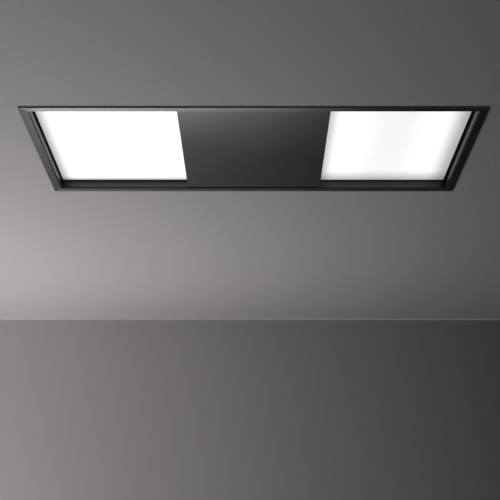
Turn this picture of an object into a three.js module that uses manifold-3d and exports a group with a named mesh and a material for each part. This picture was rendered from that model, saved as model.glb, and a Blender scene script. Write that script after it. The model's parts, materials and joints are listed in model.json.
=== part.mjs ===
// Ceiling range hood: a black frame flush with the ceiling, two light panels, and a centre panel that
// swings down. Millimetres, +Z up into the ceiling void, +X to the right and -Y towards the viewer.
// The origin is the middle of the ceiling's underside: the trim hangs below z = 0, the rest stands above.
import * as THREE from 'three';
import { mergeVertices } from 'three/addons/utils/BufferGeometryUtils.js';
import Module from 'manifold-3d';

const wasm = await Module();
wasm.setup();

// ---- driving dimensions ----

const gap = 0.3;                // clear space between neighbouring pieces

const trim = {
  width: 1200, depth: 600,      // outer size of the visible frame
  flange: 22.5,                 // visible width of a rail
  thick: 4,                     // how far it stands below the ceiling
  leg: 24, legThick: 1.5,       // upright leg inside the cut-out
  chamfer: 0.6,
  mitreGap: 0.2,
};
const casing = { reveal: 1, sheet: 1.5, bottom: -1, top: 99.1, topThick: 1.5, flange: 12 };
const diffuser = { bottom: 20.5, thick: 3, width: 379, fromLeftWall: 4.2, fromMiddle: 188.5, insetY: 8 };
const tray = { sheet: 1.2, height: 23, postRadius: 5, postInsetX: 60, postInsetY: 60 };
const led = { boardThick: 1.6, inset: 28, chip: 5, chipHigh: 1, columns: 8, rows: 10 };
const partition = { innerX: 186.8, sheet: 1.2, flange: 12 };

const panel = {
  halfWidth: 197.5, edgeGap: 1.5, bottom: -1, sheet: 1.5, rim: 6,
  braceX: 130, braceHalfWidth: 12, braceHigh: 8.5, braceFoot: 5, braceNear: -262, braceFar: 225,
};
const hinge = {
  x: 165, y: 262, z: 3,
  pinRadius: 1.5, knuckleRadius: 2.3, halfLength: 17, pinHalfLength: 18.5, fixedHalf: 8,
  pinPlay: 0.05, sheet: 1.5, leafNear: 228, armY: 254.5, leafGap: 0.35,
};
const touchCatch = {
  x: 130, y: -254, halfX: 9, halfY: 8, bottom: 12, boreTop: 37.5,
  plungerRadius: 4, plungerPlay: 0.08, plungerHigh: 22,
};

const carrier = { halfX: 186.5, z: 42.3, thick: 1.5, windowX: 150, windowInset: 43, rib: 18, lip: 14 };
const filter = {
  halfX: 160, rib: 8, rim: 12, latchRim: 28, thick: 12, overlap: 10,
  pleats: 18, pleatThick: 1.6, pleatHigh: 8, hookX: 100, hookHalf: 8, hookThick: 1.6, hookReach: 8,
  overCarrier: 0.5, slotFromWindow: 1.5,
};
const latch = {
  padHalfX: 18, padThick: 3, padLong: 24, stemHalfX: 6, stemThick: 2, slotHalfX: 7, slotLong: 13.5,
  tongueReach: 9, tongueThick: 1.8, lipHigh: 4.5, lipThick: 3, padFromEdge: 2, stemFromSlotEnd: 0.8,
};

const box = { halfX: 250, halfY: 210, top: 299.7, sheet: 1.2, foot: 14, lidThick: 1.2, lidLip: 12 };
const fan = {
  x: -92, y: -12,
  inletRadius: 75.5, openingRadius: 82, eyeRadius: 80, wheelRadius: 100,
  wheelBottom: 112, wheelTop: 232, plate: 2.5,
  blades: 36, bladeThick: 1.2, bladeLean: 0.16, bladeSteps: 4, bladeFromRim: 1,
  bossRadius: 14, bossTop: 244, shaftRadius: 6, shaftBottom: 224, shaftTop: 262,
};
const inlet = { sheet: 1.5, flangeOut: 14, bendOut: 4.5, shoulder: 1, intoWheel: 6 };
const scroll = {
  top: 246, sheet: 1.5, tongueAngle: 62, tongueRadius: 108, wideRadius: 165,
  tongueRound: 8, tongueTurn: 125, tongueSteps: 6, mouthY: 192, mouthLeftX: -43,
  lidThick: 1.5, lidEdge: 4, lidHoleRadius: 20, steps: 34,
};
const motor = {
  radius: 55, top: 292, flangeRadius: 70, flangeThick: 2.5, capRadius: 40, capHigh: 6,
  clearance: 0.06, overShaft: 1,
};
const collar = {
  x: 15, z: 188, radius: 75, sheet: 1.2, inner: 196, outer: 276, flangeRadius: 84, flangeThick: 1.5,
};
const damper = {
  y: 203, pinRadius: 1.5, knuckle: 2.6, flapRadius: 72, thick: 1, fromPin: 3.2, arcSteps: 20,
  clearance: 0.06, tabOverlap: 2, rightKnuckles: [[-62, -32], [32, 62]], leftKnuckles: [[-30, 30]],
};

const controlBox = { x: [100, 236], y: [-196, -40], z: [101.2, 161] };
const lampDriver = { x: [112, 228], y: [-22, 38], z: [101.2, 131] };
const terminalBox = { x: [150, 238], y: [112, 196], z: [101.2, 151] };
const gland = { y: 154, z: 126, radius: 10, bore: 5, inside: 6, outside: 16, nutRadius: 14, nutThick: 6 };

const hanger = {
  y: 205, halfLong: 30, sheet: 2.5, bottom: 44, top: 150, foot: 42,
  slotHalf: 4.2, slotBottom: 54, slotTop: 92, slotAcross: 17, holeRadius: 4.5, holeFromEdge: 14,
};

const through = 5;              // how far a cutting tool runs past the sheet that it cuts
const overlap = 1;              // how far a piece runs into the one that it is joined to
const weld = 1e-4;              // corners nearer than this are one corner

// How many flat sides stand for each round.
const facets = { nut: 6, post: 12, pin: 16, knuckle: 20, round: 24, lidHole: 32, duct: 48, wheel: 72 };

// ---- derived positions ----

const halfX = trim.width / 2;
const halfY = trim.depth / 2;
const wallOutX = halfX - trim.flange - casing.reveal;
const wallOutY = halfY - trim.flange - casing.reveal;
const wallInX = wallOutX - casing.sheet;
const wallInY = wallOutY - casing.sheet;
const innerY = wallInY - gap;
const underTop = casing.top - gap;
const deck = casing.top + casing.topThick;
const trayBottom = diffuser.bottom + diffuser.thick + gap;
const trayTop = trayBottom + tray.height;
const panelHalfY = wallInY - panel.edgeGap;
const panelFloor = panel.bottom + panel.sheet;
const braceTop = panelFloor + gap + panel.braceHigh;
const filterTop = carrier.z - gap;
const filterBottom = filterTop - filter.thick;
const carrierTop = carrier.z + carrier.thick;
const filterFarY = wallInY - carrier.windowInset + filter.overlap;

// ---- finishes ----

function finish(color, roughness, metalness) {
  return new THREE.MeshStandardMaterial({ color, roughness, metalness });
}

const blackCoat = finish(0x2a292b, 0.42, 0.1);
const galvanised = finish(0xa9adb0, 0.38, 0.9);
const brightSteel = finish(0xc4c6c8, 0.3, 0.95);
const aluminium = finish(0xb9bbbd, 0.45, 0.9);
const opal = finish(0xfbfbf8, 0.35, 0);
const circuitBoard = finish(0xe9ebe6, 0.6, 0);
const darkPlastic = finish(0x1d1e20, 0.5, 0);
const greyPlastic = finish(0x8d9194, 0.55, 0);
const motorPaint = finish(0x3b4046, 0.5, 0.4);

// ---- shape helpers ----

// A box between two corners, given as [low, high] along each axis.
function block(xs, ys, zs) {
  const size = [xs, ys, zs].map(([low, high]) => high - low);
  const middle = [xs, ys, zs].map(([low, high]) => (low + high) / 2);
  return new THREE.BoxGeometry(...size).translate(...middle);
}

// The same two distances on the left (side -1) or on the right (side 1) of the middle plane.
function sided(side, near, far) {
  return side > 0 ? [near, far] : [-far, -near];
}

function extrude(shape, low, high) {
  return new THREE.ExtrudeGeometry(shape, { depth: high - low, bevelEnabled: false }).translate(0, 0, low);
}

function outline(points) {
  return new THREE.Shape(points.map(([a, b]) => new THREE.Vector2(a, b)));
}

const alongX = new THREE.Matrix4().makeBasis(
  new THREE.Vector3(0, 1, 0), new THREE.Vector3(0, 0, 1), new THREE.Vector3(1, 0, 0));
const alongY = new THREE.Matrix4().makeBasis(
  new THREE.Vector3(0, 0, 1), new THREE.Vector3(1, 0, 0), new THREE.Vector3(0, 1, 0));

// An outline of [y, z] points carried along X, and one of [z, x] points carried along Y.
function extrudeX(points, low, high) {
  return extrude(outline(points), low, high).applyMatrix4(alongX);
}

function extrudeY(points, low, high) {
  return extrude(outline(points), low, high).applyMatrix4(alongY);
}

function circle(radius, sides, centreA = 0, centreB = 0) {
  return Array.from({ length: sides }, (_, i) => {
    const angle = (2 * Math.PI * i) / sides;
    return [centreA + radius * Math.cos(angle), centreB + radius * Math.sin(angle)];
  });
}

// Corner radius of a hole with flat sides that stay clear of a round pin of the given radius.
function holeRadius(radius, sides) {
  return radius / Math.cos(Math.PI / sides);
}

function toSolid(geometry) {
  const bare = geometry.clone();
  bare.deleteAttribute('normal');
  bare.deleteAttribute('uv');
  const merged = mergeVertices(bare, weld);
  const vertProperties = new Float32Array(merged.attributes.position.array);
  const triVerts = new Uint32Array(merged.index.array);
  return new wasm.Manifold(new wasm.Mesh({ numProp: 3, vertProperties, triVerts }));
}

function toGeometry(solid) {
  const mesh = solid.getMesh();
  const geometry = new THREE.BufferGeometry();
  geometry.setAttribute('position', new THREE.BufferAttribute(new Float32Array(mesh.vertProperties), 3));
  geometry.setIndex(new THREE.BufferAttribute(new Uint32Array(mesh.triVerts), 1));
  geometry.computeVertexNormals();
  return geometry;
}

function join(...pieces) {
  return toGeometry(pieces.map(toSolid).reduce((whole, piece) => whole.add(piece)));
}

function cut(piece, ...tools) {
  return toGeometry(tools.map(toSolid).reduce((rest, tool) => rest.subtract(tool), toSolid(piece)));
}

// A ring or cap turned about Z from [radius, z] points.
function turned(points, sides) {
  const profile = points.map(([radius, z]) => new THREE.Vector2(radius, z));
  return new THREE.LatheGeometry(profile, sides).rotateX(Math.PI / 2);
}

const hood = new THREE.Group();

function add(name, geometry, material) {
  const mesh = new THREE.Mesh(geometry, material);
  mesh.name = name;
  hood.add(mesh);
}

const sides = [{ word: 'left', side: -1 }, { word: 'right', side: 1 }];
const ends = [{ word: 'near', side: -1 }, { word: 'far', side: 1 }];

// ---- trim frame ----

// The rail's section, as [distance in from the outer edge, height].
function railSection() {
  const { flange, thick, leg, legThick, chamfer } = trim;
  return [
    [0, 0], [0, chamfer - thick], [chamfer, -thick], [flange - chamfer, -thick], [flange, chamfer - thick],
    [flange, leg], [flange - legThick, leg], [flange - legThick, 0],
  ];
}

// One rail with mitred ends, lying along X at the near edge, before it is turned into place.
function mitredRail(halfLength, halfAcross) {
  const section = railSection();
  const corner = (end, [inward, z]) => [end * (halfLength - inward - trim.mitreGap), inward - halfAcross, z];
  const positions = [-1, 1].flatMap((end) => section.flatMap((point) => corner(end, point)));
  const count = section.length;
  const index = [];
  const caps = THREE.ShapeUtils.triangulateShape(section.map(([a, b]) => new THREE.Vector2(a, b)), []);
  for (const [a, b, c] of caps) {
    index.push(a, c, b);
    index.push(count + a, count + b, count + c);
  }
  for (let i = 0; i < count; i += 1) {
    const next = (i + 1) % count;
    index.push(i, next, count + next);
    index.push(i, count + next, count + i);
  }
  const geometry = new THREE.BufferGeometry();
  geometry.setAttribute('position', new THREE.Float32BufferAttribute(positions, 3));
  geometry.setIndex(index);
  geometry.computeVertexNormals();
  return geometry;
}

function addTrim() {
  add('trim_rail_near', mitredRail(halfX, halfY), blackCoat);
  add('trim_rail_far', mitredRail(halfX, halfY).rotateZ(Math.PI), blackCoat);
  add('trim_rail_left', mitredRail(halfY, halfX).rotateZ(-Math.PI / 2), blackCoat);
  add('trim_rail_right', mitredRail(halfY, halfX).rotateZ(Math.PI / 2), blackCoat);
}

// ---- casing ----

// The side walls run between the near and far walls. Each is folded in at the top to carry the casing top.
function casingWalls() {
  const heights = [casing.bottom, underTop];
  const foldHeights = [underTop - casing.sheet, underTop];
  const foldX = wallInX - casing.flange;
  for (const { word, side } of sides) {
    const sheet = block(sided(side, wallInX, wallOutX), [-innerY, innerY], heights);
    const fold = block(sided(side, foldX, wallOutX), [-innerY, innerY], foldHeights);
    add(`casing_wall_${word}`, join(sheet, fold), blackCoat);
  }
  for (const { word, side } of ends) {
    const sheet = block([-wallOutX, wallOutX], sided(side, wallInY, wallOutY), heights);
    const foldY = sided(side, wallInY - casing.flange, wallOutY);
    const fold = block([gap - foldX, foldX - gap], foldY, foldHeights);
    add(`casing_wall_${word}`, join(sheet, fold), blackCoat);
  }
}

// A wall beside the suction chamber, folded outwards at the top and notched for the casing walls' folds.
function partitionWall(side) {
  const { innerX, sheet, flange } = partition;
  const upright = block(sided(side, innerX, innerX + sheet), [-innerY, innerY], [diffuser.bottom, underTop]);
  const notchLow = underTop - casing.sheet - gap;
  const notchY = wallInY - casing.flange - gap;
  const fold = block(sided(side, innerX, innerX + flange), [-notchY, notchY], [underTop - sheet, underTop]);
  const notches = ends.map(({ side: end }) => block(
    sided(side, innerX - through, innerX + flange + through), sided(end, notchY, wallOutY),
    [notchLow, underTop + through]));
  return cut(join(upright, fold), ...notches);
}

function addCasing() {
  casingWalls();
  const plate = block([-wallOutX, wallOutX], [-wallOutY, wallOutY], [casing.top, deck]);
  const round = outline(circle(fan.openingRadius, facets.duct, fan.x, fan.y));
  const opening = extrude(round, casing.top - through, deck + through);
  add('casing_top', cut(plate, opening), galvanised);
  for (const { word, side } of sides) {
    add(`partition_${word}`, partitionWall(side), galvanised);
  }
}

// ---- lights ----

// An open-bottomed sheet tray, hung from the casing top on four posts.
function lampTray(xs, ys) {
  const shell = block(xs, ys, [trayBottom, trayTop]);
  const insideX = [xs[0] + tray.sheet, xs[1] - tray.sheet];
  const insideY = [ys[0] + tray.sheet, ys[1] - tray.sheet];
  const hollow = block(insideX, insideY, [trayBottom - through, trayTop - tray.sheet]);
  const posts = [];
  for (const x of [xs[0] + tray.postInsetX, xs[1] - tray.postInsetX]) {
    for (const y of [ys[0] + tray.postInsetY, ys[1] - tray.postInsetY]) {
      const round = outline(circle(tray.postRadius, facets.post, x, y));
      posts.push(extrude(round, trayTop - tray.sheet / 2, underTop));
    }
  }
  return join(cut(shell, hollow), ...posts);
}

function ledBoard(xs, ys) {
  const top = trayTop - tray.sheet - gap;
  const boardX = [xs[0] + led.inset, xs[1] - led.inset];
  const boardY = [ys[0] + led.inset, ys[1] - led.inset];
  const bottom = top - led.boardThick;
  const pieces = [block(boardX, boardY, [bottom, top])];
  for (let i = 0; i < led.columns; i += 1) {
    for (let j = 0; j < led.rows; j += 1) {
      const x = boardX[0] + ((i + 0.5) * (boardX[1] - boardX[0])) / led.columns;
      const y = boardY[0] + ((j + 0.5) * (boardY[1] - boardY[0])) / led.rows;
      const half = led.chip / 2;
      const chipHeights = [bottom - led.chipHigh, bottom + led.boardThick / 2];
      pieces.push(block([x - half, x + half], [y - half, y + half], chipHeights));
    }
  }
  return join(...pieces);
}

// The two lights are alike, and both sit a little to the left in their openings.
function addLights() {
  const ys = [diffuser.insetY - wallInY, wallInY - diffuser.insetY];
  const startX = { left: diffuser.fromLeftWall - wallInX, right: diffuser.fromMiddle };
  for (const { word } of sides) {
    const xs = [startX[word], startX[word] + diffuser.width];
    add(`lamp_tray_${word}`, lampTray(xs, ys), blackCoat);
    add(`led_board_${word}`, ledBoard(xs, ys), circuitBoard);
    add(`diffuser_${word}`, block(xs, ys, [diffuser.bottom, diffuser.bottom + diffuser.thick]), opal);
  }
}

// ---- filters ----

function addCarrier() {
  const plate = block([-carrier.halfX, carrier.halfX], [-innerY, innerY], [carrier.z, carrierTop]);
  const lips = sides.map(({ side }) => block(
    sided(side, carrier.halfX - carrier.thick, carrier.halfX), [-innerY, innerY],
    [carrier.z, carrierTop + carrier.lip]));
  const windows = ends.map(({ side }) => block(
    [-carrier.windowX, carrier.windowX], sided(side, carrier.rib, wallInY - carrier.windowInset),
    [carrier.z - through, carrierTop + through]));
  add('filter_carrier', cut(join(plate, ...lips), ...windows), galvanised);
}

// The frame has a wide near rim with a slot for the latch, and two hooks that rest on the carrier.
function filterFrame(nearY, farY) {
  const outer = block([-filter.halfX, filter.halfX], [nearY, farY], [filterBottom, filterTop]);
  const window = block(
    [filter.rim - filter.halfX, filter.halfX - filter.rim], [nearY + filter.latchRim, farY - filter.rim],
    [filterBottom - through, filterTop + through]);
  const slotFar = nearY + filter.latchRim - filter.slotFromWindow;
  const slot = block(
    [-latch.slotHalfX, latch.slotHalfX], [slotFar - latch.slotLong, slotFar],
    [filterBottom - through, filterTop + through]);
  const hookY = farY - filter.rim;
  const top = carrierTop + filter.overCarrier;
  const hooks = [-filter.hookX, filter.hookX].flatMap((x) => [
    block([x - filter.hookHalf, x + filter.hookHalf], [hookY, hookY + filter.hookThick],
      [filterTop - filter.hookThick, top + filter.hookThick]),
    block([x - filter.hookHalf, x + filter.hookHalf], [hookY, hookY + filter.hookReach],
      [top, top + filter.hookThick]),
  ]);
  return join(cut(outer, window, slot), ...hooks);
}

// A sheet folded into pleats along X.
function pleatedMesh(nearY, farY) {
  const half = filter.halfX - filter.rim - gap;
  const low = filterBottom + (filter.thick - filter.pleatHigh) / 2;
  const lower = [];
  const upper = [];
  for (let i = 0; i <= 2 * filter.pleats; i += 1) {
    const x = -half + (i * half) / filter.pleats;
    const z = low + (i % 2) * (filter.pleatHigh - filter.pleatThick);
    lower.push([z, x]);
    upper.unshift([z + filter.pleatThick, x]);
  }
  return extrudeY([...lower, ...upper].reverse(), nearY, farY);
}

// The finger pad runs under the rim; the stem goes up through the slot and the tongue rests on the carrier.
function filterLatch(nearY) {
  const padTop = filterBottom - gap;
  const stemNear = nearY + filter.latchRim - filter.slotFromWindow - latch.slotLong + latch.stemFromSlotEnd;
  const stem = [stemNear, stemNear + latch.stemThick];
  const tongueLow = carrierTop + filter.overCarrier;
  const tongueTop = tongueLow + latch.tongueThick;
  const padNear = nearY + latch.padFromEdge;
  const padFar = padNear + latch.padLong;
  return join(
    block([-latch.padHalfX, latch.padHalfX], [padNear, padFar], [padTop - latch.padThick, padTop]),
    block([-latch.padHalfX, latch.padHalfX], [padFar - latch.lipThick, padFar],
      [padTop - latch.padThick - latch.lipHigh, padTop - latch.padThick / 2]),
    block([-latch.stemHalfX, latch.stemHalfX], stem, [padTop - latch.padThick / 2, tongueTop]),
    block([-latch.stemHalfX, latch.stemHalfX], [stem[1] - latch.tongueReach, stem[1]],
      [tongueLow, tongueTop]));
}

function addFilters() {
  const spans = { near: [-filterFarY, -filter.rib], far: [filter.rib, filterFarY] };
  for (const [word, [nearY, farY]] of Object.entries(spans)) {
    add(`filter_frame_${word}`, filterFrame(nearY, farY), aluminium);
    const meshY = [nearY + filter.latchRim + gap, farY - filter.rim - gap];
    add(`filter_mesh_${word}`, pleatedMesh(...meshY), aluminium);
    add(`filter_latch_${word}`, filterLatch(nearY), darkPlastic);
  }
}

// ---- centre panel ----

// A shallow sheet pan with its rim turned up.
function accessPanel() {
  const rimTop = panel.bottom + panel.rim;
  const outX = panel.halfWidth;
  const whole = block([-outX, outX], [-panelHalfY, panelHalfY], [panel.bottom, rimTop]);
  const inX = outX - panel.sheet;
  const inY = panelHalfY - panel.sheet;
  return cut(whole, block([-inX, inX], [-inY, inY], [panelFloor, rimTop + through]));
}

// A hat section, as [z, x] points round the middle of the brace.
function braceSection(x) {
  const { braceHalfWidth: wide, braceFoot: foot, braceHigh: high, sheet } = panel;
  const low = panelFloor + gap;
  const right = [
    [low, wide], [low + sheet, wide], [low + sheet, wide - foot + sheet], [low + high, wide - foot + sheet],
  ];
  const inner = [[low + high - sheet, wide - foot], [low, wide - foot]];
  const mirror = (points) => points.map(([z, across]) => [z, -across]).reverse();
  return [...right, ...mirror(right), ...mirror(inner), ...inner].map(([z, across]) => [z, x + across]);
}

function pinHole(lowX, highX) {
  const bore = holeRadius(hinge.pinRadius + hinge.pinPlay, facets.pin);
  return extrudeX(circle(bore, facets.pin, hinge.y, hinge.z), lowX - overlap, highX + overlap);
}

function knuckle(lowX, highX) {
  const barrel = extrudeX(circle(hinge.knuckleRadius, facets.knuckle, hinge.y, hinge.z), lowX, highX);
  return cut(barrel, pinHole(lowX, highX));
}

// The leaf on the panel: a plate with a knuckle at each end.
function hingeLeaf(x) {
  const low = panelFloor + gap;
  const knuckleX = [
    [x - hinge.halfLength, x - hinge.fixedHalf - hinge.leafGap],
    [x + hinge.fixedHalf + hinge.leafGap, x + hinge.halfLength],
  ];
  const plateFar = hinge.y - hinge.knuckleRadius - hinge.leafGap;
  const plate = block([x - hinge.halfLength, x + hinge.halfLength], [hinge.leafNear, plateFar],
    [low, low + hinge.sheet]);
  const ears = knuckleX.flatMap(([a, b]) => [
    knuckle(a, b),
    cut(block([a, b], [plateFar - overlap, hinge.y], [low, low + hinge.sheet]), pinHole(a, b)),
  ]);
  return join(plate, ...ears);
}

// The arm comes down from the filter carrier and ends in the middle knuckle.
function hingeArm(x) {
  const across = [x - hinge.halfLength, x + hinge.halfLength];
  const middle = [x - hinge.fixedHalf, x + hinge.fixedHalf];
  const top = hinge.z + hinge.knuckleRadius;
  return join(
    block(across, [hinge.armY, hinge.armY + hinge.sheet], [top - hinge.sheet, carrier.z - gap]),
    block(middle, [hinge.armY, hinge.y], [top - hinge.sheet / 2, top]),
    knuckle(...middle));
}

function addPanel() {
  add('access_panel', accessPanel(), blackCoat);
  for (const { word, side } of sides) {
    const brace = extrudeY(braceSection(side * panel.braceX), panel.braceNear, panel.braceFar);
    add(`panel_brace_${word}`, brace, galvanised);
    add(`hinge_leaf_${word}`, hingeLeaf(side * hinge.x), brightSteel);
    add(`hinge_arm_${word}`, hingeArm(side * hinge.x), brightSteel);
    const pinX = [side * hinge.x - hinge.pinHalfLength, side * hinge.x + hinge.pinHalfLength];
    const pin = extrudeX(circle(hinge.pinRadius, facets.pin, hinge.y, hinge.z), ...pinX);
    add(`hinge_pin_${word}`, pin, brightSteel);
  }
}

function addCatches() {
  const { halfX: catchX, halfY: catchY, plungerRadius } = touchCatch;
  const bore = holeRadius(plungerRadius + touchCatch.plungerPlay, facets.round);
  for (const { word, side } of sides) {
    const x = side * touchCatch.x;
    const body = block([x - catchX, x + catchX], [touchCatch.y - catchY, touchCatch.y + catchY],
      [touchCatch.bottom, carrier.z - gap]);
    const holeLow = touchCatch.bottom - through;
    const hole = extrude(outline(circle(bore, facets.round, x, touchCatch.y)), holeLow, touchCatch.boreTop);
    add(`catch_body_${word}`, cut(body, hole), darkPlastic);
    const low = braceTop + gap;
    const round = outline(circle(plungerRadius, facets.round, x, touchCatch.y));
    add(`catch_plunger_${word}`, extrude(round, low, low + touchCatch.plungerHigh), greyPlastic);
  }
}

// ---- motor box ----

// Each wall is folded out at its foot, where it is fixed to the casing top.
function addMotorBox() {
  const heights = [deck + gap, box.top];
  const footHeights = [deck + gap, deck + gap + box.sheet];
  const folded = (side, half) => sided(side, half - box.sheet, half + box.foot);
  for (const { word, side } of sides) {
    const long = [-box.halfY, box.halfY];
    const sheet = block(sided(side, box.halfX - box.sheet, box.halfX), long, heights);
    const wall = join(sheet, block(folded(side, box.halfX), long, footHeights));
    const entry = circle(gland.radius + gap, facets.round, gland.y, gland.z);
    const hole = extrudeX(entry, box.halfX - box.sheet - through, box.halfX + through);
    add(`box_wall_${word}`, side > 0 ? cut(wall, hole) : wall, galvanised);
  }
  const across = [gap + box.sheet - box.halfX, box.halfX - box.sheet - gap];
  for (const { word, side } of ends) {
    const sheet = block(across, sided(side, box.halfY - box.sheet, box.halfY), heights);
    const wall = join(sheet, block(across, folded(side, box.halfY), footHeights));
    const outlet = circle(collar.radius + gap, facets.duct, collar.z, collar.x);
    const hole = extrudeY(outlet, box.halfY - box.sheet - through, box.halfY + through);
    add(`box_wall_${word}`, side > 0 ? cut(wall, hole) : wall, galvanised);
  }
  const lidLow = box.top + gap;
  const edge = gap + box.lidThick;
  const lid = block([-box.halfX - edge, box.halfX + edge], [-box.halfY - edge, box.halfY + edge],
    [lidLow - box.lidLip, lidLow + box.lidThick]);
  const inside = block([-box.halfX - gap, box.halfX + gap], [-box.halfY - gap, box.halfY + gap],
    [lidLow - box.lidLip - through, lidLow]);
  add('box_lid', cut(lid, inside), galvanised);
}

// ---- fan ----

// The scroll's middle line, from the mouth's right side round the wheel to the mouth's left side.
function scrollLine() {
  const line = [[fan.x + scroll.wideRadius, scroll.mouthY]];
  for (let i = 0; i <= scroll.steps; i += 1) {
    const share = i / scroll.steps;
    const angle = THREE.MathUtils.degToRad(360 - share * (360 - scroll.tongueAngle));
    const radius = scroll.wideRadius - share * (scroll.wideRadius - scroll.tongueRadius);
    line.push([fan.x + radius * Math.cos(angle), fan.y + radius * Math.sin(angle)]);
  }
  const [tongueX, tongueY] = line.at(-1);
  const inward = THREE.MathUtils.degToRad(scroll.tongueAngle);
  const turn = THREE.MathUtils.degToRad(scroll.tongueTurn);
  const centreX = tongueX + scroll.tongueRound * Math.cos(inward);
  const centreY = tongueY + scroll.tongueRound * Math.sin(inward);
  for (let i = 1; i <= scroll.tongueSteps; i += 1) {
    const angle = inward - Math.PI + (turn * i) / scroll.tongueSteps;
    const x = centreX + scroll.tongueRound * Math.cos(angle);
    line.push([x, centreY + scroll.tongueRound * Math.sin(angle)]);
  }
  line.push([scroll.mouthLeftX, scroll.mouthY]);
  return line;
}

// The same line moved sideways by a distance, to its left where the distance is positive.
function offsetLine(line, distance) {
  return line.map((point, i) => {
    const [ax, ay] = line[Math.max(i - 1, 0)];
    const [bx, by] = line[Math.min(i + 1, line.length - 1)];
    const length = Math.hypot(bx - ax, by - ay);
    return [point[0] - (distance * (by - ay)) / length, point[1] + (distance * (bx - ax)) / length];
  });
}

function addScroll() {
  const line = scrollLine();
  const half = scroll.sheet / 2;
  const wall = outline([...offsetLine(line, half), ...offsetLine(line, -half).reverse()]);
  add('scroll_wall', extrude(wall, deck + gap, scroll.top), galvanised);
  const lidLow = scroll.top + gap;
  const lid = extrude(outline(offsetLine(line, scroll.lidEdge)), lidLow, lidLow + scroll.lidThick);
  const round = outline(circle(scroll.lidHoleRadius, facets.lidHole, fan.x, fan.y));
  add('scroll_lid', cut(lid, extrude(round, lidLow - through, lidLow + through)), galvanised);
}

// The ring that leads the air from the suction chamber up into the wheel's eye.
function inletRing() {
  const { sheet, flangeOut, bendOut, shoulder, intoWheel } = inlet;
  const throat = fan.inletRadius;
  const low = underTop - sheet;
  const top = fan.wheelBottom + intoWheel;
  return turned([
    [throat + bendOut, low], [throat + flangeOut, low], [throat + flangeOut, underTop],
    [throat + bendOut + shoulder, underTop], [throat + sheet, deck + sheet + shoulder],
    [throat + sheet, top], [throat, top], [throat, deck + sheet], [throat + bendOut, low],
  ], facets.duct).translate(fan.x, fan.y, 0);
}

// One forward-curved blade, a thin strip that leans further round towards its tip.
function fanBlade(start) {
  const inner = fan.eyeRadius + fan.bladeFromRim;
  const reach = fan.wheelRadius - fan.bladeFromRim - inner;
  const line = Array.from({ length: fan.bladeSteps + 1 }, (_, i) => {
    const share = i / fan.bladeSteps;
    const angle = start + fan.bladeLean * share * share;
    const radius = inner + reach * share;
    return [fan.x + radius * Math.cos(angle), fan.y + radius * Math.sin(angle)];
  });
  const half = fan.bladeThick / 2;
  const strip = outline([...offsetLine(line, -half), ...offsetLine(line, half).reverse()]);
  return extrude(strip, fan.wheelBottom + fan.plate / 2, fan.wheelTop - fan.plate / 2);
}

function impeller() {
  const { wheelBottom, wheelTop, plate, eyeRadius, wheelRadius, bossRadius, bossTop } = fan;
  const bore = holeRadius(fan.shaftRadius + gap, facets.round);
  const eyeRing = turned([
    [eyeRadius, wheelBottom], [wheelRadius, wheelBottom], [wheelRadius, wheelBottom + plate],
    [eyeRadius, wheelBottom + plate], [eyeRadius, wheelBottom],
  ], facets.wheel).translate(fan.x, fan.y, 0);
  const hub = turned([
    [bore, wheelTop - plate], [wheelRadius, wheelTop - plate], [wheelRadius, wheelTop],
    [bossRadius, wheelTop], [bossRadius, bossTop], [bore, bossTop], [bore, wheelTop - plate],
  ], facets.wheel).translate(fan.x, fan.y, 0);
  const blades = Array.from({ length: fan.blades }, (_, i) => fanBlade((2 * Math.PI * i) / fan.blades));
  return join(hub, eyeRing, ...blades);
}

function addFan() {
  addScroll();
  add('inlet_ring', inletRing(), galvanised);
  add('impeller', impeller(), galvanised);
  const shaft = outline(circle(fan.shaftRadius, facets.round, fan.x, fan.y));
  add('motor_shaft', extrude(shaft, fan.shaftBottom, fan.shaftTop), brightSteel);
  const low = scroll.top + gap + scroll.lidThick + gap;
  const bore = holeRadius(fan.shaftRadius + motor.clearance, facets.round);
  const socketTop = fan.shaftTop + motor.overShaft;
  const shell = turned([
    [bore, low], [motor.flangeRadius, low], [motor.flangeRadius, low + motor.flangeThick],
    [motor.radius, low + motor.flangeThick], [motor.radius, motor.top - motor.capHigh],
    [motor.capRadius, motor.top], [0, motor.top], [0, socketTop], [bore, socketTop], [bore, low],
  ], facets.round).translate(fan.x, fan.y, 0);
  add('motor', shell, motorPaint);
}

// ---- outlet ----

// A ring about the duct's axis, from [radius, y] points.
function ductRing(points, count) {
  const ring = new THREE.LatheGeometry(points.map(([radius, y]) => new THREE.Vector2(radius, y)), count);
  return ring.translate(collar.x, 0, collar.z);
}

// Half a disc without the strip along the pin, and knuckles round the pin where the other flap has none.
function damperFlap(side) {
  const { flapRadius, fromPin, thick, arcSteps, y } = damper;
  const arc = Array.from({ length: arcSteps + 1 }, (_, i) => {
    const edge = Math.asin(fromPin / flapRadius);
    const angle = -Math.PI / 2 + edge + (i * (Math.PI - 2 * edge)) / arcSteps;
    return [collar.z + flapRadius * Math.sin(angle), collar.x + side * flapRadius * Math.cos(angle)];
  });
  const disc = extrudeY(side > 0 ? arc : arc.reverse(), y - thick / 2, y + thick / 2);
  const spans = side > 0 ? damper.rightKnuckles : damper.leftKnuckles;
  const bore = holeRadius(damper.pinRadius + damper.clearance, facets.pin);
  const knuckles = spans.map(([low, high]) => {
    const heights = [collar.z + low, collar.z + high];
    const tube = extrude(outline(circle(damper.knuckle, facets.knuckle, collar.x, y)), ...heights);
    const across = sided(side, 0, fromPin + damper.tabOverlap).map((x) => collar.x + x);
    const tab = block(across, [y - thick / 2, y + thick / 2], heights);
    const round = outline(circle(bore, facets.pin, collar.x, y));
    return cut(join(tube, tab), extrude(round, heights[0] - through, heights[1] + through));
  });
  return join(disc, ...knuckles);
}

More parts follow.
